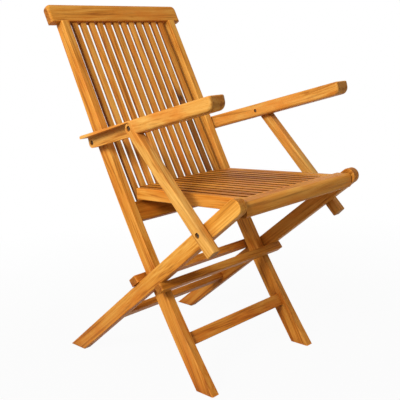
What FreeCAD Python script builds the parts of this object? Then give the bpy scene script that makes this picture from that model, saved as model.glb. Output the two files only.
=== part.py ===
import FreeCAD, Part
import math
import os
import Sketcher

# Driving dimensions in millimetres and degrees. X runs across the chair, the front faces -Y, Z is up.
SIZES = {
    # Back frame: two bowed stiles that run from the crest rail down to the front feet.
    # Their centre line is straight above the knee and bowed below it. Their front and rear edges are set off
    # from that line by different amounts, because the stiles taper to the top and widen to the foot.
    "stile_thick": 22.0,
    "stile_inner": 166.0,
    "back_angle": 25.0,
    "bow_radius": 5590.0,
    "knee_y": 157.0,
    "knee_z": 600.0,
    "stile_straight": 278.5,
    "stile_front": 19.0,
    "stile_front_middle": 14.6,
    "stile_front_foot": 21.4,
    "stile_rear_top": 10.4,
    "stile_rear_knee": 17.3,
    "stile_rear_middle": 23.4,
    "stile_rear_foot": 24.2,
    "crest_length": 430.0,
    "crest_tall": 48.0,
    "crest_thick": 23.0,
    "crest_front": 15.0,
    "crest_corner": 14.0,
    "crest_round": 8.0,
    "back_rail_z": 393.7,
    "back_rail_tall": 48.0,
    "back_rail_thick": 22.0,
    "back_rail_front": 14.0,
    "back_slat_wide": 16.2,
    "back_slat_front": 9.0,
    "back_slat_rear": 1.0,
    "back_slat_pitch": 26.17,
    "slat_count": 12.0,
    "tenon": 8.0,
    "front_stretcher_z": 107.6,
    "front_stretcher_tall": 31.0,
    "stretcher_thick": 17.0,
    # Rear legs, outboard of the stiles, with the two bars that grip the stiles
    "leg_angle": 53.14,
    "leg_depth": 36.5,
    "leg_thick": 22.0,
    "leg_inner": 190.0,
    "cross_y": -25.9,
    "cross_z": 242.0,
    "leg_reach": 354.0,
    "front_bar_start": 20.0,
    "front_bar_wide": 25.0,
    "rear_bar_start": 25.0,
    "rear_bar_wide": 29.0,
    "bar_thick": 19.0,
    "bar_past": 6.0,
    "bar_round": 5.0,
    "rear_stretcher_drop": 205.0,
    "rear_stretcher_tall": 36.0,
    # Seat, in a frame that starts at its front top edge and falls a little to the rear
    "seat_front": -321.1,
    "seat_top": 463.0,
    "seat_fall": 1.4,
    "front_rail_half": 186.0,
    "front_rail_deep": 37.0,
    "front_rail_tall": 34.0,
    "nose_round": 10.0,
    "nose_under": 9.0,
    "seat_outer": 163.5,
    "side_rail_thick": 20.5,
    "side_rail_tall": 27.5,
    "side_rail_end": 370.0,
    "seat_slat_end": 386.5,
    "seat_slat_wide": 17.4,
    "seat_slat_tall": 18.0,
    "seat_slat_pitch": 23.2,
    "rear_rail_deep": 24.0,
    # Arms and the struts that prop them from the rear legs
    "arm_pivot_y": 144.5,
    "arm_pivot_z": 564.8,
    "strut_pin_y": -29.0,
    "strut_pin_z": 606.0,
    "arm_rise": 11.9,
    "arm_inner": 190.5,
    "arm_wide": 45.5,
    "arm_half_tall": 17.0,
    "arm_front": 263.0,
    "arm_front_drop": 13.0,
    "arm_tail": 11.5,
    "arm_nose": 17.0,
    "arm_edge": 4.0,
    "arm_under": 7.0,
    "web_thick": 22.0,
    "strut_inner": 213.5,
    "strut_thick": 22.0,
    "strut_wide": 26.0,
    "strut_gap": 0.8,
    "strut_foot_reach": 250.0,
    "strut_tail": 52.0,
    # Fixings
    "pin_radius": 4.0,
    "bolt_radius": 3.0,
    "head_radius": 4.8,
    "head_tall": 3.0,
    "sink_radius": 6.3,
    "sink_deep": 6.0,
    "insert_radius": 5.0,
    "insert_long": 14.0,
    "tip_radius": 4.6,
    "tip_deep": 4.0,
    "bolt_bite": 15.0,
    "pin_bite": 16.0,
    "running_fit": 0.05,
    "bevelled": 1.6,
    "eased": 2.5,
    "eased_slat": 2.0,
    "eased_rear": 1.5,
}

SIDES = {"right": -1, "left": 1}
V = FreeCAD.Vector
doc = FreeCAD.newDocument("folding_armchair")
sheet = doc.addObject("Spreadsheet::Sheet", "sizes")
nodes = []


def fill_sheet():
    """Writes each driving dimension into the sheet under its own alias."""
    for row, (alias, value) in enumerate(SIZES.items(), start=1):
        sheet.set(f"A{row}", str(value))
        sheet.setAlias(f"A{row}", alias)
    doc.recompute()


def size(alias):
    """Reads one driving dimension back from the sheet."""
    return float(sheet.get(alias))


def turned(degrees, y, z):
    """A frame of the side view, turned about X, with its origin at a point of that view."""
    return FreeCAD.Placement(V(0, y, z), FreeCAD.Rotation(V(1, 0, 0), degrees))


def inside(frame, y, z):
    """A point of the side view, given in the chair's axes, told in a frame's own Y and Z."""
    point = frame.inverse().multVec(V(0, y, z))
    return point.y, point.z


def plane(body, role):
    """Finds one of the body's own origin planes by its role."""
    for feature in body.Origin.OriginFeatures:
        if feature.Role == role:
            return feature
    raise ValueError(role)


def slab_start(inner, thick, side):
    """The lower X of a slab that stands at a distance from the middle, on one side."""
    return f"sizes.{inner}" if side > 0 else f"-sizes.{inner} - sizes.{thick}"


def new_sketch(body, name, offset):
    """Adds a sketch on the side plane of a body, set off along X."""
    sketch = body.newObject("Sketcher::SketchObject", name)
    sketch.AttachmentSupport = (plane(body, "YZ_Plane"), [""])
    sketch.MapMode = "FlatFace"
    sketch.setExpression("AttachmentOffset.Base.z", offset)
    return sketch


def draw_loop(sketch, edges):
    """Draws a closed loop of edges, each given as its end points and, for an arc, a point on the way."""
    for start, end, *through in edges:
        if through:
            sketch.addGeometry(Part.Arc(V(*start, 0), V(*through[0], 0), V(*end, 0)), False)
        else:
            sketch.addGeometry(Part.LineSegment(V(*start, 0), V(*end, 0)), False)
    for index, (start, end, *through) in enumerate(edges):
        after = (index + 1) % len(edges)
        sketch.addConstraint(Sketcher.Constraint("Coincident", index, tail_of(sketch, index, end), after,
                                                 tail_of(sketch, after, edges[after][0])))


def tail_of(sketch, index, point):
    """Which end of a sketch edge lies at a point: an arc drawn clockwise is stored the other way round."""
    return 1 if sketch.getPoint(index, 1).distanceToPoint(V(*point, 0)) < 1e-3 else 2


def loop_of(points):
    """The edges of a closed polygon."""
    return [(point, points[(index + 1) % len(points)]) for index, point in enumerate(points)]


def new_body(name, frame):
    """Adds an empty body with its name and place, and lists it as a sub-part."""
    body = doc.addObject("PartDesign::Body", name)
    body.Label = name
    body.Placement = frame
    nodes.append(body)
    return body


def pad(body, edges, offset, thick):
    """Pads an outline of the side view across the chair."""
    sketch = new_sketch(body, "outline", offset)
    draw_loop(sketch, edges)
    feature = body.newObject("PartDesign::Pad", "pad")
    feature.Profile = sketch
    feature.setExpression("Length", f"sizes.{thick}")
    doc.recompute()


def pocket(body, sketch, length, toward_plus):
    """Cuts a sketch into the body along X, and makes sure that it removed something."""
    before = body.Shape.Volume
    feature = body.newObject("PartDesign::Pocket", "pocket")
    feature.Profile = sketch
    feature.Reversed = toward_plus
    feature.setExpression("Length", length)
    doc.recompute()
    if body.Shape.Volume > before - 1:
        raise RuntimeError(f"{body.Label}: a pocket cut nothing")


def bore(body, offset, centre, radius, length, toward_plus):
    """Bores a round hole along X, from a plane into the body."""
    sketch = new_sketch(body, "bore_outline", offset)
    sketch.addGeometry(Part.Circle(V(*centre, 0), V(0, 0, 1), 1.0), False)
    sketch.addConstraint(Sketcher.Constraint("Radius", 0, 1.0))
    sketch.setExpression("Constraints[0]", radius)
    sketch.addConstraint(Sketcher.Constraint("DistanceX", -1, 1, 0, 3, centre[0]))
    sketch.addConstraint(Sketcher.Constraint("DistanceY", -1, 1, 0, 3, centre[1]))
    pocket(body, sketch, length, toward_plus)


def ease_body(body, radius, wanted):
    """Rounds those edges of a body that the test picks."""
    base = body.Tip
    names = [f"Edge{index}" for index, edge in enumerate(base.Shape.Edges, start=1) if wanted(edge)]
    fillet = body.newObject("PartDesign::Fillet", "eased_edges")
    fillet.Base = (base, names)
    fillet.setExpression("Radius", f"sizes.{radius}")
    doc.recompute()


def flat_long(edge):
    """Tells whether an edge lies in a side face and is long enough to be eased."""
    return edge.BoundBox.XLength < 0.01 and edge.Length > 60


def box(name, low, sizes):
    """A plain block: its lower corner in its own frame, and expressions for its X, Y and Z sizes."""
    block = doc.addObject("Part::Box", name)
    block.Placement.Base = V(*low)
    for side, text in zip(("Length", "Width", "Height"), sizes):
        block.setExpression(side, text)
    doc.recompute()
    return block


def rounded(name, base, picks):
    """Rounds edges of a block. Each pick is a radius and a test that chooses its edges."""
    fillet = doc.addObject("Part::Fillet", name)
    fillet.Base = base
    chosen = {}
    for radius, wanted in picks:
        for index, edge in enumerate(base.Shape.Edges, start=1):
            if index not in chosen and wanted(edge):
                chosen[index] = radius
    fillet.Edges = [(index, radius, radius) for index, radius in chosen.items()]
    doc.recompute()
    return fillet


def cylinder(name, radius, length, low_x, y, z):
    """A round bar along X, with expressions for its radius and length."""
    bar = doc.addObject("Part::Cylinder", name)
    bar.setExpression("Radius", radius)
    bar.setExpression("Height", length)
    bar.Placement = FreeCAD.Placement(V(low_x, y, z), FreeCAD.Rotation(V(0, 1, 0), 90))
    doc.recompute()
    return bar


def joined(name, pieces):
    """Fuses several shapes into one."""
    fuse = doc.addObject("Part::MultiFuse", name)
    fuse.Shapes = pieces
    doc.recompute()
    return fuse


def cut(name, base, tool):
    """Takes one shape away from another."""
    result = doc.addObject("Part::Cut", name)
    result.Base = base
    result.Tool = tool
    doc.recompute()
    return result


def finish(name, piece, frame):
    """Names a sub-part, sets it in its place and lists it."""
    piece.Label = name
    piece.Placement = frame
    nodes.append(piece)
    return piece


def runs(axis):
    """A test for straight edges that run along one axis of their own frame."""
    def test(edge):
        ends = edge.Vertexes
        if len(ends) != 2:
            return False
        way = ends[1].Point - ends[0].Point
        return way.Length > 1 and abs(way.dot(axis)) > 0.999 * way.Length
    return test


ALONG_X = runs(V(1, 0, 0))
ALONG_Y = runs(V(0, 1, 0))
ALONG_Z = runs(V(0, 0, 1))


def bow_at(z):
    """Where the stile's centre line is at a height of its bowed length, and how far it leans there."""
    lean_sine = math.sin(math.radians(size("back_angle"))) + (size("knee_z") - z) / size("bow_radius")
    lean = math.asin(lean_sine)
    knee = math.cos(math.radians(size("back_angle")))
    return size("knee_y") - size("bow_radius") * (knee - math.cos(lean)), math.degrees(lean)


def bowed_loop(front, rear, top, bottom_z):
    """The side outline of a bowed piece, level at its foot and square at its top.

    The front and the rear edge are each given by how far ahead of the centre line they lie at the top, at the
    knee, halfway down the bow and at the foot.
    """
    lean = math.radians(size("back_angle"))
    up = V(math.sin(lean), math.cos(lean), 0)
    ahead = V(-math.cos(lean), math.sin(lean), 0)
    knee = V(size("knee_y"), size("knee_z"), 0)
    middle = knee + ahead * size("bow_radius")

    def on_arc(offset, angle):
        radius = size("bow_radius") - offset
        point = middle + V(math.cos(angle), math.sin(angle), 0) * radius
        return point.x, point.y

    def at_top(offset):
        point = knee + ahead * offset + up * top
        return point.x, point.y

    def foot_angle(offset):
        return -math.asin((middle.y - bottom_z) / (size("bow_radius") - offset))

    def stations(offsets):
        at_foot = foot_angle(offsets[3])
        halfway = on_arc(offsets[2], (at_foot - lean) / 2)
        return at_top(offsets[0]), on_arc(offsets[1], -lean), halfway, on_arc(offsets[3], at_foot)

    front_top, front_knee, front_halfway, front_foot = stations(front)
    rear_top, rear_knee, rear_halfway, rear_foot = stations(rear)
    return [
        (front_foot, front_knee, front_halfway),
        (front_knee, front_top),
        (front_top, rear_top),
        (rear_top, rear_knee),
        (rear_knee, rear_foot, rear_halfway),
        (rear_foot, front_foot),
    ]


def bowed_bar(name, front, rear, top, bottom_z, low_x, thick, edge):
    """A bowed bar, level at its foot, with its long edges taken off."""
    body = new_body(name, FreeCAD.Placement())
    pad(body, bowed_loop(front, rear, top, bottom_z), low_x, thick)
    base = body.Tip
    names = [f"Edge{index}" for index, line in enumerate(base.Shape.Edges, start=1) if flat_long(line)]
    chamfer = body.newObject("PartDesign::Chamfer", "eased_edges")
    chamfer.Base = (base, names)
    chamfer.setExpression("Size", f"sizes.{edge}")
    doc.recompute()
    return body


def make_stile(name, side):
    """A bowed stile, with a blind hole for the crossing pin and one for the arm's threaded insert."""
    front = [size("stile_front"), size("stile_front"), size("stile_front_middle"), size("stile_front_foot")]
    rear = [-size("stile_rear_top"), -size("stile_rear_knee"), -size("stile_rear_middle"), -size("stile_rear_foot")]
    body = bowed_bar(f"stile_{name}", front, rear, size("stile_straight"), 0,
                     slab_start("stile_inner", "stile_thick", side), "stile_thick", "bevelled")
    outer = "sizes.stile_inner + sizes.stile_thick"
    face = outer if side > 0 else f"-({outer})"
    bore(body, face, (size("cross_y"), size("cross_z")), "sizes.pin_radius + sizes.running_fit",
         "sizes.pin_bite + 1", side < 0)
    bore(body, face, (size("arm_pivot_y"), size("arm_pivot_z")), "sizes.insert_radius", "sizes.insert_long",
         side < 0)


def make_back_slats():
    """The upright slats, bowed like the stiles, with their ends in the crest and the lower rail."""
    lean = math.radians(bow_at(size("back_rail_z"))[1])
    foot = size("back_rail_z") + (size("back_rail_tall") / 2 - size("tenon")) * math.cos(lean)
    top = size("stile_straight") + size("tenon")
    front = [size("back_slat_front")] * 4
    rear = [-size("back_slat_rear")] * 4
    slats = []
    for number in range(int(size("slat_count"))):
        middle = f"sizes.back_slat_pitch * ({number} - (sizes.slat_count - 1) / 2)"
        slats.append(bowed_bar(f"back_slat_{number + 1:02d}", front, rear, top, foot,
                               f"{middle} - sizes.back_slat_wide / 2", "back_slat_wide", "bevelled"))
    return slats


def make_crest_rail(slats):
    """The crest rail that caps the stiles, rounded at its upper corners, with the slats let into it."""
    block = box("crest_block", (-size("crest_length") / 2, -size("crest_front"), 0),
                ("sizes.crest_length", "sizes.crest_thick", "sizes.crest_tall"))
    top = size("crest_tall") - 0.1
    corners = rounded("crest_corners", block, [
        (size("crest_corner"), lambda edge: ALONG_Y(edge) and edge.BoundBox.ZMin > top),
    ])
    edges = rounded("crest_edges", corners, [
        (size("crest_round"), lambda edge: edge.BoundBox.YLength < 0.01 and edge.BoundBox.ZMax > 1),
        (size("eased"), ALONG_X),
    ])
    lean = size("back_angle")
    frame = turned(-lean, size("knee_y"), size("knee_z"))
    place = frame.multiply(FreeCAD.Placement(V(0, 0, size("stile_straight")), FreeCAD.Rotation()))
    edges.Placement = place
    finish("crest_rail", cut("crest_rail", edges, joined("slat_tops", slats)), FreeCAD.Placement())


def make_lower_back_rail(slats):
    """The rail between the stiles that holds the slats and carries the rear of the seat."""
    y, lean = bow_at(size("back_rail_z"))
    block = box("back_rail_block", (-size("stile_inner"), -size("back_rail_front"), -size("back_rail_tall") / 2),
                ("2 * sizes.stile_inner", "sizes.back_rail_thick", "sizes.back_rail_tall"))
    edges = rounded("back_rail_edges", block, [(size("eased"), ALONG_X)])
    edges.Placement = turned(-lean, y, size("back_rail_z"))
    finish("lower_back_rail", cut("lower_back_rail", edges, joined("slat_feet", slats)), FreeCAD.Placement())


def make_stretcher(name, half_length, tall, frame):
    """A plain board across the chair, centred on its frame."""
    block = box(f"{name}_block", (-size(half_length), -size("stretcher_thick") / 2, -size(tall) / 2),
                (f"2 * sizes.{half_length}", "sizes.stretcher_thick", f"sizes.{tall}"))
    finish(name, rounded(name, block, [(size("eased"), ALONG_X)]), frame)


def leg_frame():
    """The legs' frame: its origin is on the crossing pin, and its Z runs up the leg."""
    return turned(size("leg_angle"), size("cross_y"), size("cross_z"))


def make_rear_leg(name, side):
    """A straight rear leg with a round top, cut level at the floor."""
    frame = leg_frame()
    half = size("leg_depth") / 2
    slope = math.radians(size("leg_angle"))
    reach = size("leg_reach")

    def floor(y):
        return y, -(size("cross_z") + y * math.sin(slope)) / math.cos(slope)

    body = new_body(f"rear_leg_{name}", frame)
    edges = [
        (floor(-half), (-half, reach)),
        ((-half, reach), (half, reach), (0, reach + half)),
        ((half, reach), floor(half)),
        (floor(half), floor(-half)),
    ]
    pad(body, edges, slab_start("leg_inner", "leg_thick", side), "leg_thick")
    ease_body(body, "eased", lambda edge: edge.BoundBox.XLength < 0.01 and edge.Length > 50)
    inner_face = f"{side} * sizes.leg_inner"
    outer_face = f"{side} * (sizes.leg_inner + sizes.leg_thick)"
    bore(body, inner_face, (0, 0), "sizes.pin_radius", "sizes.pin_bite", side > 0)
    bore(body, inner_face, (0, reach), "sizes.pin_radius", "sizes.pin_bite", side > 0)
    bore(body, outer_face, (0, size("strut_foot_reach")), "sizes.bolt_radius", "sizes.bolt_bite", side < 0)


def make_cross_bar(name, way):
    """A bar with round ends, fixed across the faces of both legs beside the stiles.

    The front bar (way -1) lies on the lower faces above the crossing, the rear bar (way 1) on the upper
    faces below it.
    """
    half = size("leg_inner") + size("leg_thick") + size("bar_past")
    low_y = size("leg_depth") / 2 if way > 0 else -size("leg_depth") / 2 - size("bar_thick")
    low_z = -size("rear_bar_start") - size("rear_bar_wide") if way > 0 else size("front_bar_start")
    wide = "sizes.rear_bar_wide" if way > 0 else "sizes.front_bar_wide"
    block = box(f"{name}_block", (-half, low_y, low_z),
                ("2 * (sizes.leg_inner + sizes.leg_thick + sizes.bar_past)", "sizes.bar_thick", wide))
    ends = rounded(f"{name}_ends", block, [(size("bar_round"), ALONG_Y)])
    free = low_y + size("bar_thick") if way > 0 else low_y
    piece = rounded(name, ends, [(size("eased"), lambda edge: lies_at_y(edge, free))])
    finish(name, piece, leg_frame())


def lies_at_y(edge, y):
    """Tells whether an edge lies in the plane at one Y of its own frame."""
    return abs(edge.BoundBox.YMin - y) < 0.01 and abs(edge.BoundBox.YMax - y) < 0.01


def seat_frame():
    """The seat's frame: its origin is at the front top edge, and its Y runs to the rear."""
    return turned(-size("seat_fall"), size("seat_front"), size("seat_top"))


def make_front_seat_rail():
    """The wide rail at the front of the seat, with a round nose and a hole at each end for its pin."""
    half = size("front_rail_half")
    block = box("front_rail_block", (-half, 0, -size("front_rail_tall")),
                ("2 * sizes.front_rail_half", "sizes.front_rail_deep", "sizes.front_rail_tall"))

    def nose(edge):
        return ALONG_X(edge) and edge.BoundBox.YMax < 0.1

    edges = rounded("front_rail_edges", block, [
        (size("nose_round"), lambda edge: nose(edge) and edge.BoundBox.ZMin > -0.1),
        (size("nose_under"), nose),
        (size("eased"), lambda edge: ALONG_Y(edge) and edge.BoundBox.ZMin > -0.1),
    ])
    y, z = seat_pin()
    holes = []
    for name, side in SIDES.items():
        low = half - size("pin_bite") - 1 if side > 0 else -half
        holes.append(cylinder(f"seat_hole_{name}", "sizes.pin_radius + sizes.running_fit", "sizes.pin_bite + 1",
                              low, y, z))
    finish("front_seat_rail", cut("front_seat_rail", edges, joined("seat_holes", holes)), seat_frame())


def seat_pin():
    """The seat pin's axis in the seat's own frame."""
    pin = leg_frame().multVec(V(0, 0, size("leg_reach")))
    return inside(seat_frame(), pin.y, pin.z)


def make_seat_side_rail(name, side):
    """A side rail of the seat, from the front rail to the lower back rail."""
    low = size("seat_outer") - size("side_rail_thick") if side > 0 else -size("seat_outer")
    block = box(f"seat_rail_{name}_block", (low, size("front_rail_deep"), -size("side_rail_tall")),
                ("sizes.side_rail_thick", "sizes.side_rail_end - sizes.front_rail_deep", "sizes.side_rail_tall"))
    piece = rounded(f"seat_rail_{name}", block, [(size("eased"), ALONG_Y)])
    finish(f"seat_rail_{name}", piece, seat_frame())


def make_rear_seat_rail():
    """The rail under the rear ends of the seat slats."""
    half = size("seat_outer") - size("side_rail_thick")
    low_y = size("side_rail_end") - size("rear_rail_deep")
    block = box("rear_rail_block", (-half, low_y, -size("side_rail_tall")),
                ("2 * (sizes.seat_outer - sizes.side_rail_thick)", "sizes.rear_rail_deep",
                 "sizes.side_rail_tall - sizes.seat_slat_tall"))
    finish("rear_seat_rail", rounded("rear_seat_rail", block, [(size("eased_rear"), is_lowest_x)]), seat_frame())


def is_lowest_x(edge):
    """Picks the lower edges of the rear seat rail that run across the chair."""
    return ALONG_X(edge) and edge.BoundBox.ZMax < -size("side_rail_tall") + 0.1


def make_seat_slat(number):
    """A seat slat, from the front rail to the rear, level with the side rails."""
    middle = size("seat_slat_pitch") * (number - (size("slat_count") - 1) / 2)
    block = box(f"seat_slat_{number + 1:02d}_block",
                (middle - size("seat_slat_wide") / 2, size("front_rail_deep"), -size("seat_slat_tall")),
                ("sizes.seat_slat_wide", "sizes.seat_slat_end - sizes.front_rail_deep", "sizes.seat_slat_tall"))
    name = f"seat_slat_{number + 1:02d}"
    finish(name, rounded(name, block, [(size("eased_slat"), ALONG_Y)]), seat_frame())


def arm_frame():
    """The arms' frame: its origin is on the strut's upper bolt, and its Y runs down to the rear."""
    return turned(-size("arm_rise"), size("strut_pin_y"), size("strut_pin_z"))


def strut_foot():
    """The strut's lower bolt, on the middle of the leg."""
    return leg_frame().multVec(V(0, 0, size("strut_foot_reach")))


def make_arm(name, side):
    """An arm: a full-width front, and at the rear a web on the stile's side under a thin outer flange."""
    frame = arm_frame()
    half = size("arm_half_tall")
    front = -size("arm_front")
    pivot = inside(frame, size("arm_pivot_y"), size("arm_pivot_z"))
    rear = pivot[0] + size("arm_tail")
    body = new_body(f"arm_{name}", frame)
    profile = [(front, -size("arm_front_drop")), (rear, -half), (rear, half), (front, half)]
    pad(body, loop_of(profile), slab_start("arm_inner", "arm_wide", side), "arm_wide")

    def is_side_edge(edge):
        return edge.BoundBox.XLength < 0.01 and edge.BoundBox.YMin < rear - 1 and edge.BoundBox.ZMin < half - 0.1

    ease_body(body, "arm_nose", lambda edge: ALONG_X(edge) and edge.BoundBox.YMax < 0 and edge.BoundBox.ZMax < 0)
    ease_body(body, "arm_under", is_side_edge)
    ease_body(body, "arm_edge", lambda edge: lies_at_z(edge, half))
    inner_face = f"{side} * sizes.arm_inner"
    web_face = f"{side} * (sizes.arm_inner + sizes.web_thick)"
    cut_recess(body, side, web_face, pivot, rear)
    round_web(body, side, inner_face, pivot, rear)
    bore(body, inner_face, (0, 0), "sizes.bolt_radius", "sizes.web_thick", side > 0)
    bore(body, inner_face, (0, 0), "sizes.tip_radius", "sizes.tip_deep", side > 0)
    bore(body, inner_face, pivot, "sizes.bolt_radius", "sizes.web_thick", side > 0)
    bore(body, web_face, pivot, "sizes.sink_radius", "sizes.sink_deep", side < 0)


def lies_at_z(edge, z):
    """Tells whether an edge lies in the plane at one Z of its own frame."""
    return abs(edge.BoundBox.ZMin - z) < 0.01 and abs(edge.BoundBox.ZMax - z) < 0.01


def strut_way():
    """The strut's direction from its upper bolt to its foot, told in the arm's frame."""
    foot = strut_foot()
    y, z = inside(arm_frame(), foot.y, foot.z)
    reach = math.hypot(y, z)
    return V(y / reach, z / reach, 0)


def cut_recess(body, side, web_face, pivot, rear):
    """Cuts the hollow under the flange that the strut folds into, with a wall round the strut's head."""
    clear = size("strut_wide") / 2 + size("strut_gap")
    way = strut_way()
    ahead = V(way.y, -way.x, 0)
    if ahead.x > 0:
        ahead = -ahead
    axis = V(pivot[0], pivot[1], 0).normalize()
    above = V(-axis.y, axis.x, 0)
    crown = above * clear
    brow = ahead * clear
    between = (crown + brow).normalize() * clear
    below = brow + way * (3 * size("arm_half_tall"))
    far = axis * (rear + size("arm_tail")) + crown
    low = V(far.x, -2 * size("arm_half_tall"), 0)
    edges = [
        ((crown.x, crown.y), (brow.x, brow.y), (between.x, between.y)),
        ((brow.x, brow.y), (below.x, below.y)),
        ((below.x, below.y), (low.x, below.y)),
        ((low.x, below.y), (far.x, far.y)),
        ((far.x, far.y), (crown.x, crown.y)),
    ]
    sketch = new_sketch(body, "recess_outline", web_face)
    draw_loop(sketch, edges)
    pocket(body, sketch, "sizes.arm_wide - sizes.web_thick", side > 0)


def round_web(body, side, inner_face, pivot, rear):
    """Rounds the rear end of the web about the arm's rear bolt, up to the flange."""
    radius = pivot[1] + size("arm_half_tall")
    y, z = pivot
    past = rear + 1
    edges = [
        ((y, z - radius), (y + radius, z), (y + radius * math.sqrt(0.5), z - radius * math.sqrt(0.5))),
        ((y + radius, z), (past, z)),
        ((past, z), (past, z - radius - 1)),
        ((past, z - radius - 1), (y, z - radius - 1)),
        ((y, z - radius - 1), (y, z - radius)),
    ]
    sketch = new_sketch(body, "web_end_outline", inner_face)
    draw_loop(sketch, edges)
    pocket(body, sketch, "sizes.web_thick", side > 0)


def strut_frame():
    """The struts' frame: its origin is on the lower bolt, and its Z runs up to the arm."""
    foot = strut_foot()
    lean = math.degrees(math.atan2(size("strut_pin_y") - foot.y, size("strut_pin_z") - foot.z))
    return turned(-lean, foot.y, foot.z)


def make_strut(name, side):
    """A strut with a round head at the arm and a square tail below the leg."""
    frame = strut_frame()
    head = inside(frame, size("strut_pin_y"), size("strut_pin_z"))
    half = size("strut_wide") / 2
    tail = -size("strut_tail")
    body = new_body(f"strut_{name}", frame)
    edges = [
        ((-half, tail), (-half, head[1])),
        ((-half, head[1]), (half, head[1]), (0, head[1] + half)),
        ((half, head[1]), (half, tail)),
        ((half, tail), (-half, tail)),
    ]
    pad(body, edges, slab_start("strut_inner", "strut_thick", side), "strut_thick")
    ease_body(body, "eased", lambda edge: edge.BoundBox.XLength < 0.01 or edge.BoundBox.ZMax < tail + 0.1)
    inner_face = f"{side} * sizes.strut_inner"
    outer_face = f"{side} * (sizes.strut_inner + sizes.strut_thick)"
    for centre in ((0, 0), head):
        bore(body, inner_face, centre, "sizes.bolt_radius + sizes.running_fit", "sizes.strut_thick", side > 0)
        bore(body, outer_face, centre, "sizes.sink_radius", "sizes.sink_deep", side < 0)


def make_bolt(name, side, head_face, tip, y, z):
    """A bolt along X: a round head whose outer face is at one distance from the middle, and its shank."""
    shank_low = tip if side > 0 else -(head_face - size("head_tall"))
    shank_long = head_face - size("head_tall") - tip
    shank = cylinder(f"{name}_shank", "sizes.bolt_radius", f"{shank_long}", shank_low, y, z)
    head_low = head_face - size("head_tall") if side > 0 else -head_face
    head = cylinder(f"{name}_head", "sizes.head_radius", "sizes.head_tall", head_low, y, z)
    finish(name, joined(name, [shank, head]), FreeCAD.Placement())


def make_round(name, side, radius, inner, outer, y, z):
    """A plain round bar between two distances from the middle of the chair."""
    low = inner if side > 0 else -outer
    finish(name, cylinder(name, radius, f"{outer - inner}", low, y, z), cylinder_place(low, y, z))


def cylinder_place(low, y, z):
    """The place of a bar along X that starts at one X."""
    return FreeCAD.Placement(V(low, y, z), FreeCAD.Rotation(V(0, 1, 0), 90))


def make_fixings(name, side):
    """The pins, bolts and threaded insert of one side of the chair."""
    stile_face = size("stile_inner") + size("stile_thick")
    leg_pin_end = size("leg_inner") + size("pin_bite")
    make_round(f"crossing_pin_{name}", side, "sizes.pin_radius", stile_face - size("pin_bite"), leg_pin_end,
               size("cross_y"), size("cross_z"))
    seat = leg_frame().multVec(V(0, 0, size("leg_reach")))
    make_round(f"seat_pin_{name}", side, "sizes.pin_radius", size("front_rail_half") - size("pin_bite"),
               leg_pin_end, seat.y, seat.z)
    make_round(f"arm_insert_{name}", side, "sizes.insert_radius", stile_face - size("insert_long"), stile_face,
               size("arm_pivot_y"), size("arm_pivot_z"))
    sunk = size("sink_deep") - size("head_tall")
    strut_face = size("strut_inner") + size("strut_thick")
    leg_face = size("leg_inner") + size("leg_thick")
    foot = strut_foot()
    make_bolt(f"strut_foot_bolt_{name}", side, strut_face - sunk, leg_face - size("bolt_bite"), foot.y, foot.z)
    make_bolt(f"strut_head_bolt_{name}", side, strut_face - sunk, size("arm_inner") + 1, size("strut_pin_y"),
              size("strut_pin_z"))
    make_bolt(f"arm_rear_bolt_{name}", side, size("arm_inner") + size("web_thick") - sunk, size("arm_inner") - 1,
              size("arm_pivot_y"), size("arm_pivot_z"))


def build_back_frame():
    """Builds the back frame, which also carries the front feet."""
    for name, side in SIDES.items():
        make_stile(name, side)
    slats = make_back_slats()
    make_crest_rail(slats)
    make_lower_back_rail(slats)
    y, lean = bow_at(size("front_stretcher_z"))
    make_stretcher("front_stretcher", "stile_inner", "front_stretcher_tall",
                   turned(-lean, y, size("front_stretcher_z")))


def build_legs():
    """Builds the rear legs and the bars and the stretcher between them."""
    for name, side in SIDES.items():
        make_rear_leg(name, side)
    make_cross_bar("front_cross_bar", -1)
    make_cross_bar("rear_cross_bar", 1)
    drop = leg_frame().multVec(V(0, 0, -size("rear_stretcher_drop")))
    make_stretcher("rear_stretcher", "leg_inner", "rear_stretcher_tall", turned(size("leg_angle"), drop.y, drop.z))


def build_seat():
    """Builds the seat."""
    make_front_seat_rail()
    for name, side in SIDES.items():
        make_seat_side_rail(name, side)
    make_rear_seat_rail()
    for number in range(int(size("slat_count"))):
        make_seat_slat(number)


def build_arms():
    """Builds the arms, their struts and every fixing."""
    for name, side in SIDES.items():
        make_arm(name, side)
        make_strut(name, side)
        make_fixings(name, side)


def check_document():
    """Stops if any object of the document failed or any sub-part is not one sound solid."""
    for item in doc.Objects:
        if "Invalid" in item.State or "Error" in item.State:
            raise RuntimeError(f"{item.Name} failed: {item.State}")
    for item in nodes:
        shape = item.Shape
        if shape.isNull() or not shape.isValid() or len(shape.Solids) != 1:
            raise RuntimeError(f"{item.Label} is not one valid solid")


def write_parts():
    """Writes each sub-part to its own file, named after it."""
    os.makedirs("parts", exist_ok=True)
    for item in nodes:
        item.Shape.exportStep(f"parts/{item.Label}.step")
        limits = item.Shape.BoundBox
        print(f"{item.Label:22s} {item.Shape.Volume / 1000:8.1f} cm3  y {limits.YMin:7.2f} {limits.YMax:7.2f}"
              f"  z {limits.ZMin:7.2f} {limits.ZMax:7.2f}")


fill_sheet()
build_back_frame()
build_legs()
build_seat()
build_arms()
doc.recompute()
check_document()
write_parts()
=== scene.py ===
"""A folding teak armchair, dressed and lit as it stands open on a studio floor."""

import logging
import math
from dataclasses import dataclass, field
from enum import Enum
from typing import NamedTuple

import bmesh
import bpy
from mathutils import Matrix, Vector


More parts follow.
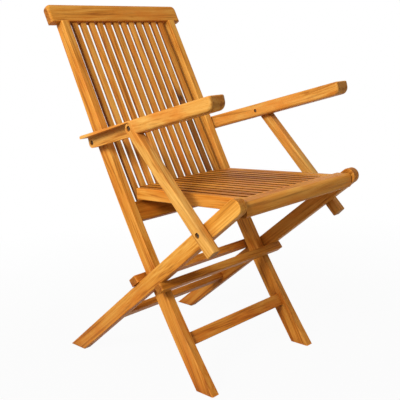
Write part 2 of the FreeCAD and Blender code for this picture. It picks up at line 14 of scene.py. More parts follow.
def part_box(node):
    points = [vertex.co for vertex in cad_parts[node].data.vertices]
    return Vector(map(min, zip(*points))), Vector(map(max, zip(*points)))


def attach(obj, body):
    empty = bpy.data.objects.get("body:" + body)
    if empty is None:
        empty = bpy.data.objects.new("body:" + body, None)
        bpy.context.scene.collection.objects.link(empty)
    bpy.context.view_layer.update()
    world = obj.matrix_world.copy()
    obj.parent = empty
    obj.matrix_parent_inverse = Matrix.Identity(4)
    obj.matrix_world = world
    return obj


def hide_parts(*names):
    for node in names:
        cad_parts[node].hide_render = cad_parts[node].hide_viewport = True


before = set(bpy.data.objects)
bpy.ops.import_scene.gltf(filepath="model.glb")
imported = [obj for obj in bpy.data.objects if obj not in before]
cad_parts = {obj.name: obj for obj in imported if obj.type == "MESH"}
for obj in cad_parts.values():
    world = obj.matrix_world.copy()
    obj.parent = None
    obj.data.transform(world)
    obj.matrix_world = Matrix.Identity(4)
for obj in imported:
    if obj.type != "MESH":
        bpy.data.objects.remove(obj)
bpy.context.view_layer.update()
LOG = logging.getLogger("armchair")

Triple = tuple[float, float, float]
Colour = Triple
Span = tuple[float, float]
Socket = bpy.types.NodeSocket
Material = bpy.types.Material

WHITE: Colour = (1.0, 1.0, 1.0)
UP: Triple = (0.0, 0.0, 1.0)
NONE_TO_ALL: Span = (0.0, 1.0)
# The Mix node's colour sockets, which share their names with its number sockets
MIX_FIRST = 6
MIX_SECOND = 7
MIX_RESULT = 2


class GrainWay(Enum):
    """Which way the wood fibres of a piece run, as turns about X and Y that stand them upright."""

    BACK = (27.0, 0.0)
    LEG = (-53.14, 0.0)
    SEAT = (91.4, 0.0)
    ARM = (101.9, 0.0)
    STRUT = (42.6, 0.0)
    ACROSS = (0.0, -90.0)


class Side(Enum):
    """The two sides of the chair, as the sign of X."""

    RIGHT = -1
    LEFT = 1

    @property
    def word(self) -> str:
        """The side's name as the pieces carry it."""
        return self.name.lower()


class Grain(NamedTuple):
    """One layer of noise: its cells per metre along X, Y and Z, and its octaves."""

    cells: Triple
    detail: float


class NodeBench:
    """Adds shader nodes to one node tree and joins them up."""

    def __init__(self, owner: Material | bpy.types.World) -> None:
        """Clears the owner's nodes.

        Args:
            owner: the material or the world to work on.
        """
        owner.use_nodes = True
        self.tree = owner.node_tree
        self.tree.nodes.clear()

    def add(self, kind: str, **settings: object) -> bpy.types.Node:
        """Adds one node.

        Args:
            kind: the node's type name, without the ShaderNode prefix.
            settings: properties of the node to set.

        Returns:
            The new node.
        """
        node = self.tree.nodes.new(f"ShaderNode{kind}")
        for name, value in settings.items():
            setattr(node, name, value)
        return node

    def feed(self, socket: Socket, value: object) -> None:
        """Sets a socket to a constant, or links an output to it.

        Args:
            socket: the input socket.
            value: a number, a tuple or an output socket.
        """
        if isinstance(value, Socket):
            self.tree.links.new(value, socket)
        else:
            socket.default_value = value

    def worked(self, kind: str, operation: str, values: tuple[object, ...]) -> bpy.types.Node:
        """Adds a node that works something out.

        Args:
            kind: the node's type name, without the ShaderNode prefix.
            operation: what it does.
            values: its inputs, in order.

        Returns:
            The new node.
        """
        node = self.add(kind, operation=operation)
        for socket, value in zip(node.inputs, values):
            self.feed(socket, value)
        return node

    def maths(self, operation: str, *values: object) -> Socket:
        """A number worked out from numbers."""
        return self.worked("Math", operation, values).outputs[0]

    def vector(self, operation: str, *values: object) -> Socket:
        """A vector worked out from vectors."""
        return self.worked("VectorMath", operation, values).outputs["Vector"]

    def measure(self, operation: str, *values: object) -> Socket:
        """A number worked out from vectors."""
        return self.worked("VectorMath", operation, values).outputs["Value"]

    def along(self, axis: str, vector: Socket) -> Socket:
        """Takes one part out of a vector.

        Args:
            axis: the axis, X, Y or Z.
            vector: the vector's socket.

        Returns:
            The part's socket.
        """
        apart = self.add("SeparateXYZ")
        self.feed(apart.inputs[0], vector)
        return apart.outputs[axis]

    def noise(self, place: Socket, grain: Grain, output: str = "Fac") -> Socket:
        """Reads a smooth noise.

        Args:
            place: the place's socket.
            grain: the layer's cells and octaves.
            output: which output is read, Fac or Color.

        Returns:
            The noise's socket.
        """
        node = self.add("TexNoise")
        self.feed(node.inputs["Vector"], self.vector("MULTIPLY", place, grain.cells))
        node.inputs["Scale"].default_value = 1.0
        node.inputs["Detail"].default_value = grain.detail
        return node.outputs[output]

    def blended(self, weights: tuple[float, ...], layers: list[Socket]) -> Socket:
        """Adds layers up, each with its own weight.

        Args:
            weights: the layers' weights.
            layers: the layers' sockets.

        Returns:
            The sum's socket.
        """
        total = self.maths("MULTIPLY", layers[0], weights[0])
        for weight, layer in zip(weights[1:], layers[1:]):
            total = self.maths("MULTIPLY_ADD", layer, weight, total)
        return total

    def ramp(self, value: Socket, stops: list[tuple[float, Colour]]) -> Socket:
        """Turns a number into a colour.

        Args:
            value: the number's socket.
            stops: positions and colours, in order.

        Returns:
            The colour's socket.
        """
        node = self.add("ValToRGB")
        self.feed(node.inputs[0], value)
        elements = node.color_ramp.elements
        while len(elements) < len(stops):
            elements.new(0.5)
        for element, (position, colour) in zip(elements, stops):
            element.position = position
            element.color = (*colour, 1.0)
        return node.outputs["Color"]

    def between(self, value: Socket, read: Span, result: Span) -> Socket:
        """Maps a number from one range to another, held at the ends.

        Args:
            value: the number's socket.
            read: the range that is read.
            result: the results at its two ends.

        Returns:
            The result's socket.
        """
        node = self.add("MapRange")
        self.feed(node.inputs["Value"], value)
        for name, number in zip(("From Min", "From Max", "To Min", "To Max"), (*read, *result)):
            node.inputs[name].default_value = number
        return node.outputs["Result"]

    def mixed(self, share: object, first: object, second: Colour, blend: str = "MIX") -> Socket:
        """Mixes a plain colour into another one.

        Args:
            share: how much of the second colour is taken, as a number or a socket.
            first: the first colour.
            second: the second colour.
            blend: the Mix node's blend type.

        Returns:
            The mixed colour's socket.
        """
        node = self.add("Mix", data_type="RGBA", blend_type=blend)
        self.feed(node.inputs["Factor"], share)
        self.feed(node.inputs[MIX_FIRST], first)
        node.inputs[MIX_SECOND].default_value = (*second, 1.0)
        return node.outputs[MIX_RESULT]

    def tinted(self, share: object, colour: Socket, tint: Colour) -> Socket:
        """A colour multiplied by a tint, as far as the share says."""
        return self.mixed(share, colour, tint, "MULTIPLY")

    def openness(self, reach: float, samples: int, inside: bool = False) -> Socket:
        """Reads how open a place is: 1 on a free face and less in a corner.

        Args:
            reach: how far the surroundings count, in metres.
            samples: how many rays are sent.
            inside: whether the rays go into the piece, so that outer edges read less and not corners.

        Returns:
            The openness's socket.
        """
        node = self.add("AmbientOcclusion", samples=samples, inside=inside)
        node.inputs["Distance"].default_value = reach
        return node.outputs["AO"]

    def seen_on(self, *rays: str) -> Socket:
        """Tells some kinds of rays from the others.

        Args:
            rays: the Light Path outputs that count.

        Returns:
            A socket that is 1 on those rays and 0 on the others.
        """
        outputs = self.add("LightPath").outputs
        seen = outputs[rays[0]]
        for ray in rays[1:]:
            seen = self.maths("MAXIMUM", seen, outputs[ray])
        return seen

    def surface(self, shader: bpy.types.Node, output: str = "Material") -> None:
        """Sends a shader to the output of the material or the world."""
        self.feed(self.add(f"Output{output}").inputs["Surface"], shader.outputs[0])


@dataclass(frozen=True)
class Heartwood:
    """A small knot in one slat, with the dark heartwood that runs down from it."""

    knot: Triple = (0.1129, 0.1687, 0.6463)
    reach: Triple = (0.0055, 0.0120, 0.0085)
    knot_colour: Colour = (0.075, 0.028, 0.010)
    knot_fade: Span = (0.5, 1.3)
    knot_share: float = 0.9
    heart_tint: Colour = (0.30, 0.27, 0.30)
    heart_fade: Span = (0.640, 0.690)
    heart_share: float = 0.85
    ragged: Grain = Grain((150.0, 20.0, 20.0), 2.0)
    ragged_reach: float = 0.10

    def paint(self, bench: NodeBench, place: Socket, colour: Socket) -> Socket:
        """Darkens the heartwood and the knot.

        Args:
            bench: the material's bench.
            place: the place in the piece's own axes.
            colour: the wood's colour.

        Returns:
            The colour's socket.
        """
        noise = bench.noise(place, self.ragged)
        sway = bench.maths("MULTIPLY_ADD", noise, self.ragged_reach, -self.ragged_reach / 2.0)
        height = bench.maths("ADD", bench.along("Z", place), sway)
        heart = bench.between(height, self.heart_fade, (self.heart_share, 0.0))
        colour = bench.tinted(heart, colour, self.heart_tint)
        away = bench.vector("DIVIDE", bench.vector("SUBTRACT", place, self.knot), self.reach)
        knot = bench.between(bench.measure("LENGTH", away), self.knot_fade, (self.knot_share, 0.0))
        return bench.mixed(knot, colour, self.knot_colour)


@dataclass(frozen=True)
class TeakFinish:
    """Oiled teak: long uneven streaks, warm patches, fine fibres, short pores, painted shade on the side
    faces and in corners, and a painted highlight on the rubbed edges.

    The layers of noise are read where the fibres stand along Z, so they are stretched that way.
    """

    light: Colour = (0.890, 0.425, 0.075)
    mid: Colour = (0.740, 0.280, 0.030)
    dark: Colour = (0.460, 0.142, 0.011)
    mid_stop: float = 0.36
    sway: Grain = Grain((6.0, 6.0, 2.2), 1.0)
    sway_reach: Triple = (0.055, 0.055, 0.0)
    broad: Grain = Grain((52.0, 52.0, 2.8), 2.0)
    rings: Grain = Grain((240.0, 240.0, 6.0), 2.0)
    lines: Grain = Grain((470.0, 470.0, 9.0), 1.0)
    fibre: Grain = Grain((1100.0, 1100.0, 16.0), 2.0)
    layer_weights: tuple[float, ...] = (0.36, 0.34, 0.18, 0.12)
    layer_span: Span = (0.40, 0.60)

    warm: Colour = (0.740, 0.215, 0.018)
    patch: Grain = Grain((26.0, 26.0, 9.0), 3.0)
    patch_span: Span = (0.50, 0.68)
    patch_share: float = 0.60
    streak: Colour = (0.280, 0.085, 0.010)
    vein: Grain = Grain((150.0, 150.0, 3.0), 1.0)
    vein_span: Span = (0.61, 0.73)
    vein_share: float = 0.42
    pore: Grain = Grain((1700.0, 1700.0, 65.0), 1.0)
    pore_span: Span = (0.63, 0.72)
    pore_share: float = 0.35

    # The side tint paints shade onto faces that turn sideways, where the gaps between slats lie in shade.
    side_shade_tint: Colour = (0.62, 0.52, 0.42)
    side_shade_span: Span = (0.25, 0.75)
    side_shade_share: float = 0.0
    floor_tint: Colour = (0.84, 0.70, 0.60)
    floor_span: Span = (0.06, 0.34)
    floor_share: float = 0.8
    end_tint: Colour = (0.62, 0.54, 0.46)
    end_span: Span = (0.72, 0.94)
    # The corner tint paints shade into corners, creases and the hollows between parts.
    corner_shade_tint: Colour = (0.36, 0.24, 0.15)
    corner_shade_reach: float = 0.030
    corner_shade_samples: int = 8
    corner_shade_span: Span = (0.25, 0.95)
    corner_shade_share: float = 0.62
    # The edge tint paints a highlight on the outer edges, together with some rubbing of the finish.
    edge_highlight_and_wear_tint: Colour = (1.40, 1.34, 1.30)
    edge_reach: float = 0.0035
    edge_samples: int = 6
    edge_span: Span = (0.45, 0.95)
    edge_share: float = 0.55

    sheen: float = 0.14
    roughness: Span = (0.46, 0.60)
    fibre_span: Span = (0.3, 0.7)
    fibre_relief: float = 0.4
    bump_strength: float = 0.22
    bump_depth: float = 0.0004
    spread: float = 0.12
    level_steps: tuple[int, int] = (37, 11)
    warmth_steps: tuple[int, int] = (53, 7)
    warmth_spread: float = 0.05
    warmth_shift: Triple = (0.4, -1.0, -3.0)
    plank_step: Triple = (0.131, 0.173, 0.71)
    plank_rows: tuple[int, int] = (7, 5)

    def make(self, name: str, way: GrainWay, seed: int, heart: Heartwood | None = None) -> Material:
        """Builds the finish for one piece.

        Args:
            name: the material's name.
            way: the direction of the fibres.
            seed: a number that sets the piece's own figure and tone.
            heart: a knot with its heartwood, where the piece has one.

        Returns:
            The material.
        """
        material = bpy.data.materials.new(name)
        bench = NodeBench(material)
        coordinates = bench.add("TexCoord")
        own_place, own_facing = coordinates.outputs["Object"], coordinates.outputs["Normal"]
        place = self.upright(bench, own_place, way, self.cut_from(seed))
        facing = self.upright(bench, own_facing, way, (0.0, 0.0, 0.0))
        fibre = bench.noise(place, self.fibre)
        pores = bench.between(bench.noise(place, self.pore), self.pore_span, NONE_TO_ALL)
        colour = self.figure(bench, place, fibre)
        colour = bench.mixed(bench.maths("MULTIPLY", pores, self.pore_share), colour, self.streak)
        if heart:
            colour = heart.paint(bench, own_place, colour)
        colour = self.side_shade_and_low_tone(bench, colour, own_place, own_facing)
        colour = self.ends_shade_and_edge_highlight(bench, colour, facing)
        shader = bench.add("BsdfPrincipled")
        bench.feed(shader.inputs["Base Color"], bench.tinted(1.0, colour, self.tone(seed)))
        bench.feed(shader.inputs["Roughness"], bench.between(fibre, self.fibre_span, self.roughness))
        shader.inputs["Specular IOR Level"].default_value = self.sheen
        bench.feed(shader.inputs["Normal"], self.relief(bench, fibre, pores))
        bench.surface(shader)
        return material

    def cut_from(self, seed: int) -> Triple:
        """Finds where in one endless plank a piece is cut from.

        Args:
            seed: the piece's number.

        Returns:
            The place in the plank.
        """
        step_x, step_y, step_z = self.plank_step
        rows_x, rows_y = self.plank_rows
        return step_x * (seed % rows_x), step_y * (seed % rows_y), step_z * seed

    def tone(self, seed: int) -> Colour:
        """Works out the piece's own slight tint.

        Args:
            seed: the piece's number.

        Returns:
            Factors for red, green and blue.
        """
        level = 1.0 + self.spread * self.scattered(seed, *self.level_steps)
        warmth = self.warmth_spread * self.scattered(seed, *self.warmth_steps)
        return tuple(level * (1.0 + shift * warmth) for shift in self.warmth_shift)

    @staticmethod
    def scattered(seed: int, stride: int, steps: int) -> float:
        """Spreads the pieces' numbers over even steps, so that neighbours differ.

        Args:
            seed: the piece's number.
            stride: how many steps the next number is away.
            steps: how many steps there are.

        Returns:
            A number from -0.5 to 0.5.
        """
        return ((seed * stride) % steps) / (steps - 1) - 0.5

    @staticmethod
    def upright(bench: NodeBench, vector: Socket, way: GrainWay, shift: Triple) -> Socket:
        """Turns the piece's coordinates so that its fibres stand along Z.

        Args:
            bench: the material's bench.
            vector: a place or a normal in the piece's own axes.
            way: the direction of the fibres.
            shift: what is added after the turn.

        Returns:
            The turned vector's socket.
        """
        mapping = bench.add("Mapping")
        bench.feed(mapping.inputs["Vector"], vector)
        about_x, about_y = way.value
        mapping.inputs["Rotation"].default_value = (math.radians(about_x), math.radians(about_y), 0.0)
        mapping.inputs["Location"].default_value = shift
        return mapping.outputs["Vector"]

    def figure(self, bench: NodeBench, place: Socket, fibre: Socket) -> Socket:
        """Paints the growth streaks, the warm patches and a few dark veins.

        Args:
            bench: the material's bench.
            place: the upright place.
            fibre: the fine fibre noise.

        Returns:
            The colour's socket.
        """
        sway = bench.vector("MULTIPLY", bench.noise(place, self.sway, "Color"), self.sway_reach)
        bent = bench.vector("ADD", place, sway)
        layers = [bench.noise(bent, grain) for grain in (self.broad, self.rings, self.lines)]
        streaks = bench.blended(self.layer_weights, [*layers, fibre])
        depth = bench.between(streaks, self.layer_span, NONE_TO_ALL)
        colour = bench.ramp(depth, [(0.0, self.dark), (self.mid_stop, self.mid), (1.0, self.light)])
        patches = bench.between(bench.noise(place, self.patch), self.patch_span, (0.0, self.patch_share))
        colour = bench.mixed(patches, colour, self.warm)
        veins = bench.between(bench.noise(bent, self.vein), self.vein_span, (0.0, self.vein_share))
        return bench.mixed(veins, colour, self.streak)

    def side_shade_and_low_tone(self, bench: NodeBench, colour: Socket, place: Socket, facing: Socket) -> Socket:
        """Darkens the side faces with painted shade in the gaps between slats, and deepens the colour near
        the floor.

        Args:
            bench: the material's bench.
            colour: the wood's colour.
            place: the place in the piece's own axes.
            facing: the normal in the piece's own axes.

        Returns:
            The colour's socket.
        """
        # Painted shade on faces that turn sideways, into the gaps between slats.
        sideways = bench.maths("ABSOLUTE", bench.along("X", facing))
        sides = bench.between(sideways, self.side_shade_span, (0.0, self.side_shade_share))
        colour = bench.tinted(sides, colour, self.side_shade_tint)
        low = bench.between(bench.along("Z", place), self.floor_span, (self.floor_share, 0.0))
        return bench.tinted(low, colour, self.floor_tint)

    def ends_shade_and_edge_highlight(self, bench: NodeBench, colour: Socket, facing: Socket) -> Socket:
        """Darkens the end grain, paints shade into corners and hollows, and lightens the outer edges with a
        painted highlight and some rubbing of the finish.

        Args:
            bench: the material's bench.
            colour: the wood's colour.
            facing: the upright normal.

        Returns:
            The colour's socket.
        """
        across = bench.maths("ABSOLUTE", bench.measure("DOT_PRODUCT", facing, UP))
        ends = bench.between(across, self.end_span, NONE_TO_ALL)
        colour = bench.tinted(ends, colour, self.end_tint)
        # Painted shade, deeper where the place is less open.
        corner = bench.openness(self.corner_shade_reach, self.corner_shade_samples)
        dirt = bench.between(corner, self.corner_shade_span, (self.corner_shade_share, 0.0))
        colour = bench.tinted(dirt, colour, self.corner_shade_tint)
        # Painted highlight on the outer edges, together with some rubbing of the finish.
        edge = bench.openness(self.edge_reach, self.edge_samples, inside=True)
        highlight_and_wear = bench.between(edge, self.edge_span, (self.edge_share, 0.0))
        return bench.tinted(highlight_and_wear, colour, self.edge_highlight_and_wear_tint)

    def relief(self, bench: NodeBench, fibre: Socket, pores: Socket) -> Socket:
        """Raises the fibres and sinks the pores.

        Args:
            bench: the material's bench.
            fibre: the fine fibre noise.
            pores: where the pores are.

        Returns:
            The bumped normal's socket.
        """
        bump = bench.add("Bump")
        bump.inputs["Strength"].default_value = self.bump_strength
        bump.inputs["Distance"].default_value = self.bump_depth
        ridges = bench.maths("MULTIPLY", fibre, self.fibre_relief)
        bench.feed(bump.inputs["Height"], bench.maths("SUBTRACT", ridges, pores))
        return bump.outputs["Normal"]


@dataclass(frozen=True)
class MetalFinish:
    """Plain turned metal, a little dulled."""

    colour: Colour = (0.26, 0.19, 0.12)
    roughness: float = 0.45
    dulled: float = 0.6
    speck: Grain = Grain((900.0, 900.0, 900.0), 2.0)
    speck_span: Span = (0.3, 0.7)
    smoother: float = 0.06
    rougher: float = 0.10

    def make(self, name: str) -> Material:
        """Builds the finish.

        Args:
            name: the material's name.

        Returns:
            The material.
        """
        material = bpy.data.materials.new(name)
        bench = NodeBench(material)
        speck = bench.noise(bench.add("TexCoord").outputs["Object"], self.speck)
        dull = tuple(self.dulled * channel for channel in self.colour)
        roughness = (self.roughness - self.smoother, self.roughness + self.rougher)
        shader = bench.add("BsdfPrincipled")
        bench.feed(shader.inputs["Base Color"], bench.mixed(speck, (*self.colour, 1.0), dull))
        bench.feed(shader.inputs["Roughness"], bench.between(speck, self.speck_span, roughness))
        shader.inputs["Metallic"].default_value = 1.0
        bench.surface(shader)
        return material


@dataclass(frozen=True)
class SocketShadeFinish:
    """Painted shade inside a drive socket: near black, mottled a little."""

    colour: Colour = (0.012, 0.010, 0.009)
    dirt: Colour = (0.05, 0.035, 0.02)
    roughness: float = 0.8
    sunk_shade: Grain = Grain((600.0, 600.0, 600.0), 2.0)

    def make(self, name: str) -> Material:
        """Builds the finish.

        Args:
            name: the material's name.

        Returns:
            The material.
        """
        material = bpy.data.materials.new(name)
        bench = NodeBench(material)
        sunk_shade = bench.noise(bench.add("TexCoord").outputs["Object"], self.sunk_shade)
        shader = bench.add("BsdfPrincipled")
        bench.feed(shader.inputs["Base Color"], bench.mixed(sunk_shade, (*self.colour, 1.0), self.dirt))
        shader.inputs["Roughness"].default_value = self.roughness
        bench.surface(shader)
        return material


FRAME_TEAK = TeakFinish()
# A darker copy of the teak for the cross bars and the stretcher: partly their own tone, partly painted shade
# low under the chair.
SHADED_BAR_TEAK = TeakFinish(light=(0.76, 0.340, 0.050), mid=(0.62, 0.215, 0.020), dark=(0.38, 0.115, 0.008))
# A darker copy of the teak for the lower back rail: partly the board's own tone, partly painted shade from
# the seat above.
SHADED_RAIL_TEAK = TeakFinish(light=(0.58, 0.235, 0.026), mid=(0.46, 0.145, 0.010), dark=(0.28, 0.078, 0.005))
# The back slats' side faces take a painted shade.
SLAT_TEAK = TeakFinish(side_shade_share=0.7, spread=0.18)
ARM_TEAK = TeakFinish(light=(0.88, 0.47, 0.110), mid=(0.76, 0.340, 0.058), dark=(0.50, 0.175, 0.022),
                      spread=0.06)
# The seat slats' side faces take a deep painted shade in the gaps.
SEAT_TEAK = TeakFinish(light=(0.86, 0.370, 0.046), mid=(0.66, 0.225, 0.016), dark=(0.34, 0.098, 0.006),
                       warm=(0.62, 0.180, 0.014), side_shade_tint=(0.15, 0.10, 0.07), side_shade_share=1.0, spread=0.18)
BOLT_STEEL = MetalFinish()
INSERT_BRASS = MetalFinish(colour=(0.55, 0.38, 0.16), roughness=0.35)
# Near-black painted shade for the inside of the bolts' sockets.
SOCKET_SHADE = SocketShadeFinish()


def dress(node: str, material: Material) -> None:
    """Gives a CAD piece its finish.

    Args:
        node: the piece's name.
        material: the finish.
    """
    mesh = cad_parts[node].data
    mesh.materials.clear()
    mesh.materials.append(material)
    LOG.info("dressed %s with %s", node, material.name)


def dress_wood(pieces: dict[str, GrainWay], finish: TeakFinish, first_seed: int, skipped: str = "") -> None:
    """Dresses wooden pieces, each in a figure of its own.

    Args:
        pieces: the pieces' names and the ways of their fibres.
        finish: the teak they are cut from.
        first_seed: the first piece's number.
        skipped: a piece that keeps its number but is dressed by itself.
    """
    for seed, (node, way) in enumerate(pieces.items(), start=first_seed):
        if node != skipped:
            dress(node, finish.make(f"teak_{node}", way, seed))


def numbered(stem: str, count: int) -> list[str]:
    """The names of pieces that repeat."""
    return [f"{stem}_{number:02d}" for number in range(1, count + 1)]


@dataclass
class BackFrame:
    """The bowed stiles with the crest rail, the slats, the lower rail and the front stretcher."""

    cross_pieces: tuple[str, ...] = ("crest_rail", "lower_back_rail", "front_stretcher")
    shaded_rail: str = "lower_back_rail"
    slat_count: int = 12
    knotty_slat: str = "back_slat_11"
    heart: Heartwood = Heartwood()
    first_seed: int = 1

    def dress(self) -> None:
        """Dresses every piece of the back."""
        frame_pieces = {f"stile_{side.word}": GrainWay.BACK for side in Side}
        frame_pieces |= {node: GrainWay.ACROSS for node in self.cross_pieces}
        dress_wood(frame_pieces, FRAME_TEAK, self.first_seed, skipped=self.shaded_rail)
        # The lower back rail takes its darker teak, partly painted shade from the seat.
        dress(self.shaded_rail, SHADED_RAIL_TEAK.make("teak_shaded_rail", GrainWay.ACROSS, self.first_seed))
        slats = {node: GrainWay.BACK for node in numbered("back_slat", self.slat_count)}
        dress_wood(slats, SLAT_TEAK, self.first_seed + len(frame_pieces), skipped=self.knotty_slat)
        knotty = SLAT_TEAK.make("teak_heartwood", GrainWay.BACK, self.first_seed, self.heart)
        dress(self.knotty_slat, knotty)


@dataclass
class CrossedLegs:
    """The rear legs with their cross bars and stretcher."""

    bars: tuple[str, ...] = ("front_cross_bar", "rear_cross_bar", "rear_stretcher")
    first_seed: int = 21

    def dress(self) -> None:
        """Dresses every piece of the legs."""
        legs = {f"rear_leg_{side.word}": GrainWay.LEG for side in Side}
        dress_wood(legs, FRAME_TEAK, self.first_seed)
        bars = {node: GrainWay.ACROSS for node in self.bars}
        dress_wood(bars, SHADED_BAR_TEAK, self.first_seed + len(legs))


@dataclass
class SlattedSeat:
    """The seat's rails and slats."""

    cross_rails: tuple[str, ...] = ("front_seat_rail", "rear_seat_rail")
    slat_count: int = 12
    first_seed: int = 31

    def dress(self) -> None:
        """Dresses the rails and the darker slats."""
        rails = {f"seat_rail_{side.word}": GrainWay.SEAT for side in Side}
        rails |= {node: GrainWay.ACROSS for node in self.cross_rails}
        dress_wood(rails, FRAME_TEAK, self.first_seed)
        slats = {node: GrainWay.SEAT for node in numbered("seat_slat", self.slat_count)}
        dress_wood(slats, SEAT_TEAK, self.first_seed + len(rails))


@dataclass
class ArmBolt:
    """A round-headed bolt along X, with a six-sided drive socket in its head."""

    head_radius: float = 0.0048
    head_tall: float = 0.0030
    shank_radius: float = 0.0030
    flats: int = 6
    socket_half: float = 0.0022
    socket_deep: float = 0.0018
    rim: float = 0.0005
    rim_steps: int = 2
    segments: int = 24
    tolerance: float = 0.0002
    decimals: int = 6

    def build(self, node: str, body: str, side: Side, finishes: tuple[Material, Material]) -> None:
        """Builds the bolt in the place of its CAD node.

        Args:
            node: the CAD bolt that it stands for.
            body: the body that carries it.
            side: the side of the chair.
            finishes: the metal, and the inside of the socket.
        """
        low, high = (Vector(corner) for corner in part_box(node))
        shape = self.turned_blank(high.x - low.x)
        self.sink_socket(shape)
        turn = Matrix.Rotation(math.radians(90.0 * side.value), 4, "Y")
        outer = high.x if side is Side.LEFT else low.x
        middle = (low + high) / 2.0
        shape.transform(Matrix.Translation((outer, middle.y, middle.z)) @ turn)
        name = f"{node}_turned"
        mesh = bpy.data.meshes.new(name)
        shape.to_mesh(mesh)
        shape.free()
        for finish in finishes:
            mesh.materials.append(finish)
        piece = bpy.data.objects.new(name, mesh)
        bpy.context.scene.collection.objects.link(piece)
        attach(piece, body)
        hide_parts(node)
        LOG.info("built %s on %s", name, body)

    def turned_blank(self, length: float) -> bmesh.types.BMesh:
        """Makes the head and the shank, with the head's outer face at Z = 0 and the shank below it.

        Args:
            length: the bolt's whole length.

        Returns:
            The blank, with only its outer face still plain.
        """
        shape = bmesh.new()
        bmesh.ops.create_circle(shape, cap_ends=True, segments=self.segments, radius=self.head_radius)
        outer = shape.faces[:]
        bmesh.ops.recalc_face_normals(shape, faces=outer)
        under = self.extruded_down(shape, outer, self.head_tall)
        bmesh.ops.inset_region(shape, faces=under, thickness=self.head_radius - self.shank_radius)
        self.extruded_down(shape, under, length - self.head_tall)
        bmesh.ops.delete(shape, geom=under, context="FACES_ONLY")
        bmesh.ops.recalc_face_normals(shape, faces=shape.faces[:])
        return shape

    @staticmethod
    def extruded_down(shape: bmesh.types.BMesh, faces: list[bmesh.types.BMFace],
                      depth: float) -> list[bmesh.types.BMFace]:
        """Extrudes faces and moves the new ones down along Z.

        Args:
            shape: the mesh they are in.
            faces: the faces to extrude.
            depth: how far down the new ones go.

        Returns:
            The new faces at the far end.
        """
        new = bmesh.ops.extrude_face_region(shape, geom=faces)["geom"]
        verts = [item for item in new if isinstance(item, bmesh.types.BMVert)]
        bmesh.ops.translate(shape, verts=verts, vec=(0.0, 0.0, -depth))
        return [item for item in new if isinstance(item, bmesh.types.BMFace)]

    def sink_socket(self, shape: bmesh.types.BMesh) -> None:
        """Eases the head's rim and sinks the socket into its face.

        Args:
            shape: the turned blank.
        """
        face = self.outer_face(shape)
        bmesh.ops.bevel(shape, geom=list(face.edges), offset=self.rim, segments=self.rim_steps, profile=0.5,
                        affect="EDGES", material=-1)
        face = self.outer_face(shape)
        wall = self.head_radius - self.rim - self.socket_half
        bmesh.ops.inset_region(shape, faces=[face], thickness=wall)
        half_flat = math.pi / self.flats
        for vert in face.verts:
            from_middle = math.atan2(vert.co.y, vert.co.x) % (2.0 * half_flat) - half_flat
            reach = self.socket_half / math.cos(from_middle)
            vert.co.xy = vert.co.xy.normalized() * reach
        self.extruded_down(shape, [face], self.socket_deep)
        bmesh.ops.delete(shape, geom=[face], context="FACES_ONLY")
        # Faces inside the socket take the second finish, a painted shade.
        for item in shape.faces:
            item.material_index = int(self.is_in_socket(item))
        bmesh.ops.recalc_face_normals(shape, faces=shape.faces[:])

    def outer_face(self, shape: bmesh.types.BMesh) -> bmesh.types.BMFace:
        """The largest of the faces that lie furthest out."""
        return max(shape.faces,
                   key=lambda item: (round(item.calc_center_median().z, self.decimals), item.calc_area()))

    def is_in_socket(self, face: bmesh.types.BMFace) -> bool:
        """Tells the socket's walls and floor from the other faces.

        Args:
            face: the face to test.

        Returns:
            Whether the face is inside the socket.
        """
        widest = self.socket_half / math.cos(math.pi / self.flats) + self.tolerance
        lowest = self.tolerance - self.head_tall
        is_sunk = face.calc_center_median().z < -self.tolerance
        return is_sunk and all(vert.co.xy.length < widest and vert.co.z > lowest for vert in face.verts)


@dataclass
class FoldingArm:
    """One arm with its strut, its three bolts, the threaded insert and the pins of its side."""

    side: Side
    bolt: ArmBolt = field(default_factory=ArmBolt)
    middle_seed: int = 51

    def dress(self, steel: Material, sunk_shade: Material, brass: Material) -> None:
        """Dresses the wood and sets the bolts.

        Args:
            steel: the finish of the bolts and pins.
            sunk_shade: the painted shade inside the bolts' sockets.
            brass: the insert's finish.
        """
        word = self.side.word
        wood = {f"arm_{word}": GrainWay.ARM, f"strut_{word}": GrainWay.STRUT}
        dress_wood(wood, ARM_TEAK, self.middle_seed + self.side.value)
        arm_body = f"arm_{word}_group"
        carriers = {"strut_foot_bolt": "legs", "strut_head_bolt": arm_body, "arm_rear_bolt": arm_body}
        for stem, body in carriers.items():
            self.bolt.build(f"{stem}_{word}", body, self.side, (steel, sunk_shade))
        for stem in ("crossing_pin", "seat_pin"):
            dress(f"{stem}_{word}", steel)
        dress(f"arm_insert_{word}", brass)


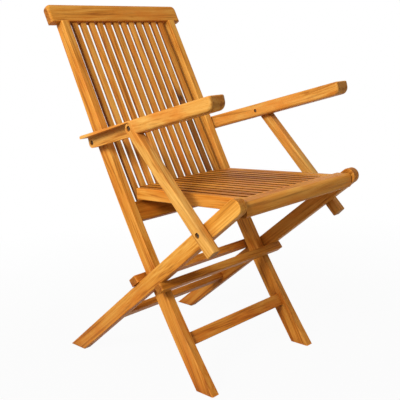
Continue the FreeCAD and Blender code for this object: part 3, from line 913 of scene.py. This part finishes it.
@dataclass
class Studio:
    """The camera, the room's light, the floor and the lamp."""

    camera_place: Triple = (-1.16486, -1.19963, 0.74188)
    camera_turn: float = -44.112
    camera_fall: float = 11.564
    camera_roll: float = -3.466
    focal_pixels: float = 677.54
    frame_pixels: float = 400.0
    sensor: float = 36.0
    room_light: float = 0.38
    floor_radius: float = 6.0
    floor_segments: int = 96
    floor_drop: float = 0.0005
    paper_colour: Colour = (0.38, 0.37, 0.36)
    paper_fade: Span = (0.5, 1.6)
    paper_glow: Span = (0.955, 1.0)
    lamp_place: Triple = (-3.0, -0.7, 2.2)
    lamp_aim: Triple = (0.0, 0.0, 0.4)
    lamp_size: float = 1.0
    lamp_power: float = 98.0

    def build(self) -> None:
        """Sets up the whole studio."""
        bpy.context.scene.view_settings.view_transform = "Standard"
        self.add_camera()
        self.add_world()
        self.add_floor()
        self.add_lamp()
        LOG.info("built the studio")

    def add_camera(self) -> None:
        """Places the camera at the photograph's viewpoint."""
        data = bpy.data.cameras.new("camera")
        data.sensor_width = self.sensor
        data.lens = self.sensor * self.focal_pixels / self.frame_pixels
        camera = bpy.data.objects.new("camera", data)
        turn = Matrix.Rotation(math.radians(self.camera_turn), 4, "Z")
        fall = Matrix.Rotation(math.radians(90.0 - self.camera_fall), 4, "X")
        roll = Matrix.Rotation(math.radians(self.camera_roll), 4, "Z")
        camera.matrix_world = Matrix.Translation(self.camera_place) @ turn @ fall @ roll
        bpy.context.scene.collection.objects.link(camera)
        bpy.context.scene.camera = camera

    def add_world(self) -> None:
        """A white background for the camera and for reflections, and a dimmer even light for the object."""
        world = bpy.data.worlds.new("studio")
        bpy.context.scene.world = world
        bench = NodeBench(world)
        mix = bench.add("MixShader")
        bench.feed(mix.inputs[0], bench.seen_on("Is Camera Ray", "Is Glossy Ray", "Is Transmission Ray"))
        for socket, strength in zip(mix.inputs[1:], (self.room_light, 1.0)):
            background = bench.add("Background")
            background.inputs["Color"].default_value = (*WHITE, 1.0)
            background.inputs["Strength"].default_value = strength
            bench.feed(socket, background.outputs[0])
        bench.surface(mix, "World")

    def add_floor(self) -> None:
        """A pale floor whose white fades into the background, and which keeps a soft shadow."""
        mesh = bpy.data.meshes.new("studio_floor")
        shape = bmesh.new()
        bmesh.ops.create_circle(shape, cap_ends=True, segments=self.floor_segments, radius=self.floor_radius)
        bmesh.ops.translate(shape, verts=shape.verts, vec=(0.0, 0.0, -self.floor_drop))
        shape.to_mesh(mesh)
        shape.free()
        floor = bpy.data.objects.new("studio_floor", mesh)
        bpy.context.scene.collection.objects.link(floor)
        mesh.materials.append(self.floor_paper())

    def floor_paper(self) -> Material:
        """Makes the floor's paper, whose white for the camera leaves the shadow faint.

        Returns:
            The material.
        """
        material = bpy.data.materials.new("studio_paper")
        bench = NodeBench(material)
        away = bench.measure("LENGTH", bench.add("TexCoord").outputs["Object"])
        glow_share = bench.between(away, self.paper_fade, self.paper_glow)
        seen = bench.seen_on("Is Camera Ray", "Is Glossy Ray")
        paper = bench.add("BsdfDiffuse")
        paper.inputs["Color"].default_value = (*self.paper_colour, 1.0)
        glow = bench.add("Emission")
        glow.inputs["Color"].default_value = (*WHITE, 1.0)
        mix = bench.add("MixShader")
        mixed = (bench.maths("MULTIPLY", seen, glow_share), paper.outputs[0], glow.outputs[0])
        for socket, value in zip(mix.inputs, mixed):
            bench.feed(socket, value)
        bench.surface(mix)
        return material

    def add_lamp(self) -> None:
        """Adds the soft square lamp that faces the chair."""
        data = bpy.data.lights.new("key_lamp", "AREA")
        data.shape = "SQUARE"
        data.size = self.lamp_size
        data.energy = self.lamp_power
        lamp = bpy.data.objects.new("key_lamp", data)
        facing = (Vector(self.lamp_aim) - Vector(self.lamp_place)).to_track_quat("-Z", "Y").to_matrix()
        lamp.matrix_world = Matrix.Translation(self.lamp_place) @ facing.to_4x4()
        bpy.context.scene.collection.objects.link(lamp)


def main() -> None:
    """Builds the studio and dresses every piece of the chair."""
    logging.basicConfig(level=logging.INFO, format="%(message)s")
    Studio().build()
    BackFrame().dress()
    CrossedLegs().dress()
    SlattedSeat().dress()
    steel = BOLT_STEEL.make("dull_steel")
    # The bolts' sockets are filled with painted shade.
    sunk_shade = SOCKET_SHADE.make("socket_shade")
    brass = INSERT_BRASS.make("plain_brass")
    for side in Side:
        FoldingArm(side).dress(steel, sunk_shade, brass)


if __name__ == "__main__":
    main()
